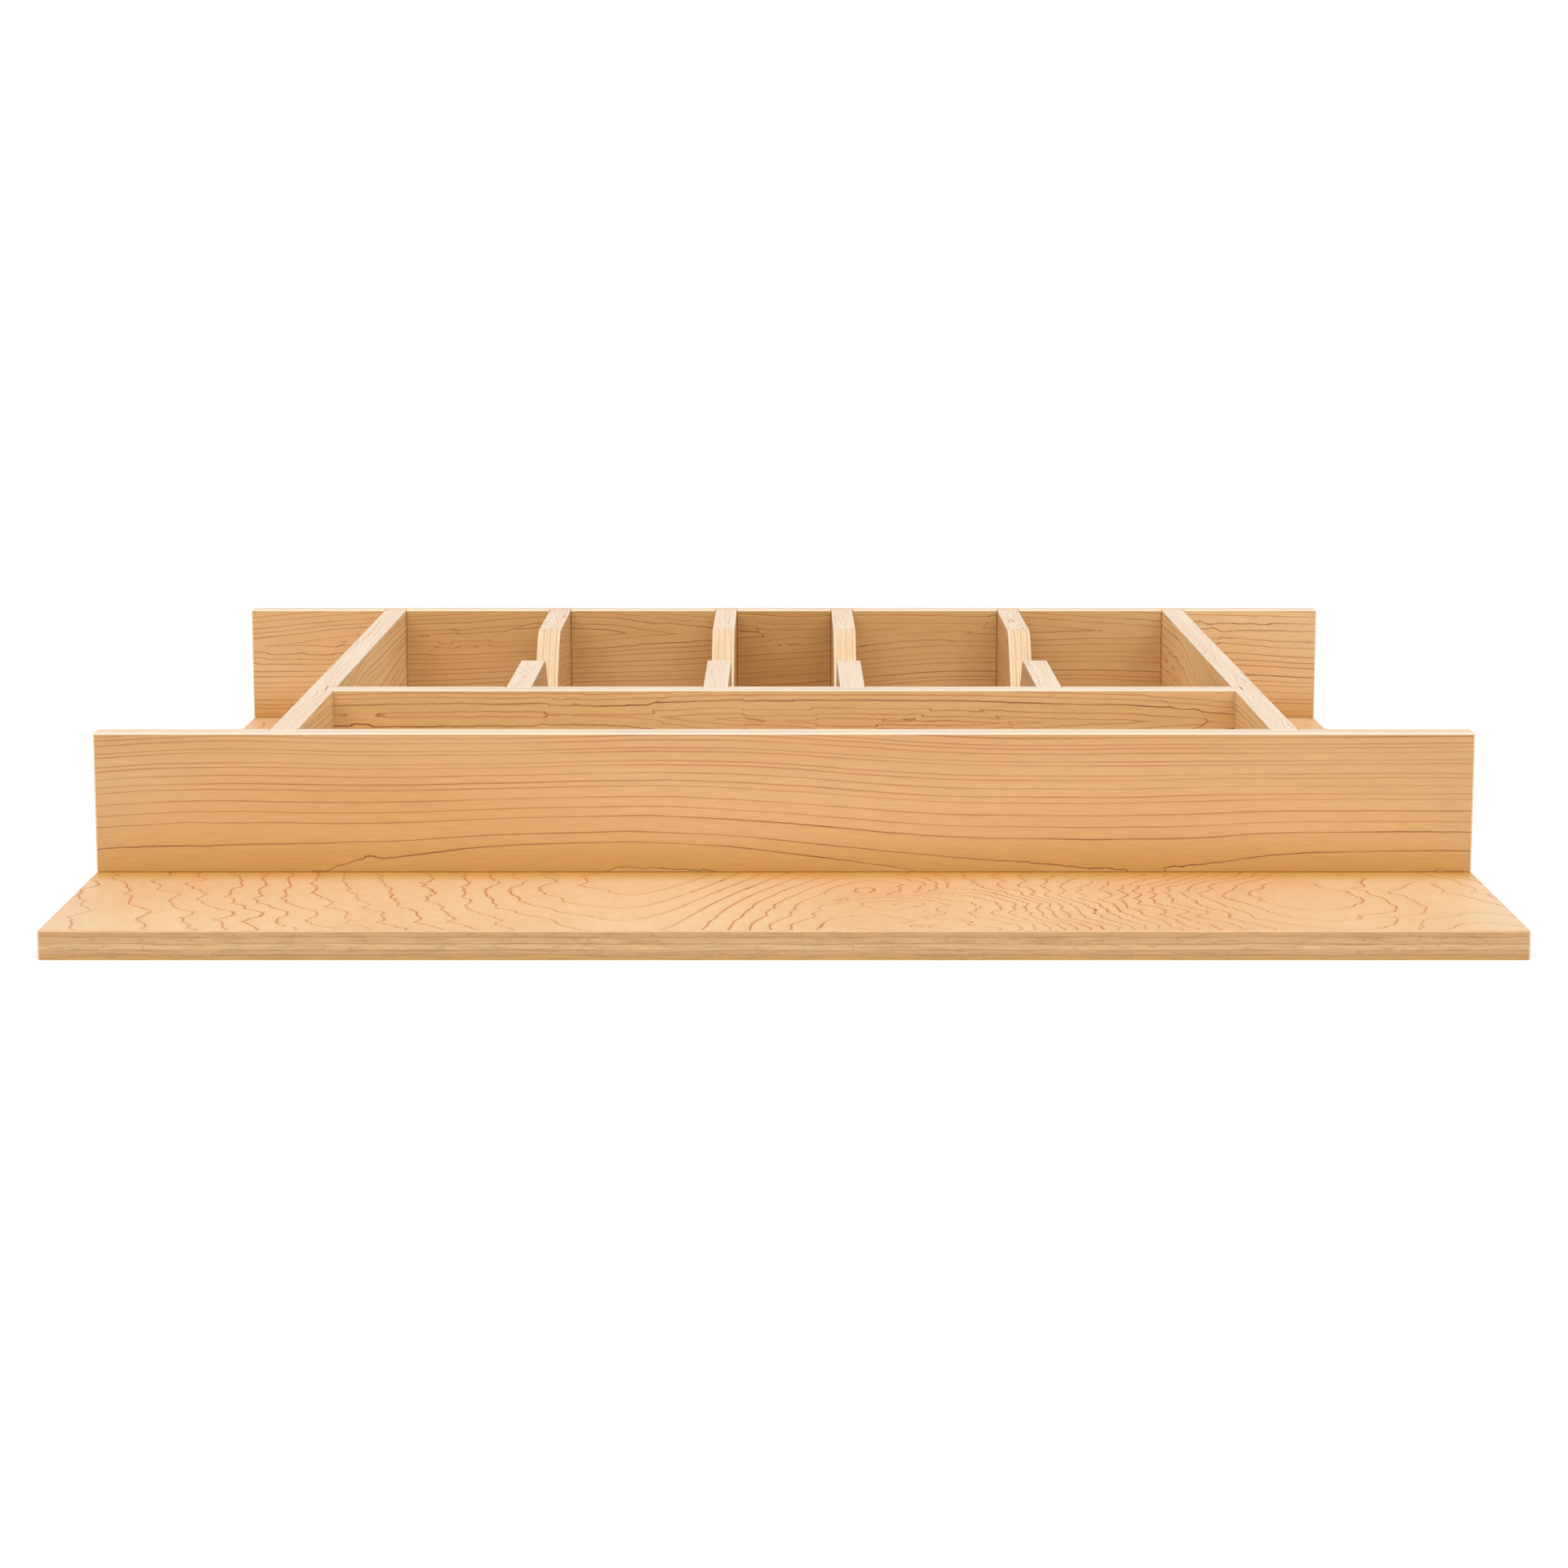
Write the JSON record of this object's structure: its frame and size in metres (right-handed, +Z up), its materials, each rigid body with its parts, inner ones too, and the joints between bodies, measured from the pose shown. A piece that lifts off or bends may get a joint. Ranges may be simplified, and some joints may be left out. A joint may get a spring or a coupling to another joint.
{
  "type": "drawer organizer insert",
  "caption": "Trim-to-fit wooden drawer organizer tray: a wide front bay and long bays with finger-scooped dividers, on a plywood base whose flanges are cut to suit the drawer.",
  "frame": {"origin": "middle of the base panel's underside", "axes": "+X to the right along the front wall, +Y from the front flange to the back wall, +Z up"},
  "size_m": [0.6096, 0.5588, 0.0748],
  "materials": {
    "base_plywood": "satin clear-lacquered maple plywood, plies open on the edges",
    "wall_board": "satin clear-lacquered maple, pale lacquered edges",
    "screw_steel": "bright zinc plate"
  },
  "bodies": {
    "root": {"base_panel": "base_plywood", "front_wall": "wall_board", "back_wall": "wall_board", "cross_wall": "wall_board", "side_wall_left": "wall_board", "side_wall_right": "wall_board", "long_divider_1": "wall_board", "long_divider_2": "wall_board", "long_divider_3": "wall_board", "long_divider_4": "wall_board", "base_screw_01": "screw_steel", "base_screw_02": "screw_steel", "base_screw_03": "screw_steel", "base_screw_04": "screw_steel", "base_screw_05": "screw_steel", "base_screw_06": "screw_steel", "base_screw_07": "screw_steel", "base_screw_08": "screw_steel", "base_screw_09": "screw_steel", "base_screw_10": "screw_steel", "base_screw_11": "screw_steel", "base_screw_12": "screw_steel", "base_screw_13": "screw_steel", "base_screw_14": "screw_steel", "base_screw_15": "screw_steel", "base_screw_16": "screw_steel", "base_screw_17": "screw_steel", "base_screw_18": "screw_steel", "base_screw_19": "screw_steel", "base_screw_20": "screw_steel", "base_screw_21": "screw_steel", "base_screw_22": "screw_steel", "base_screw_23": "screw_steel", "base_screw_24": "screw_steel", "base_screw_25": "screw_steel"}
  },
  "joints": []
}
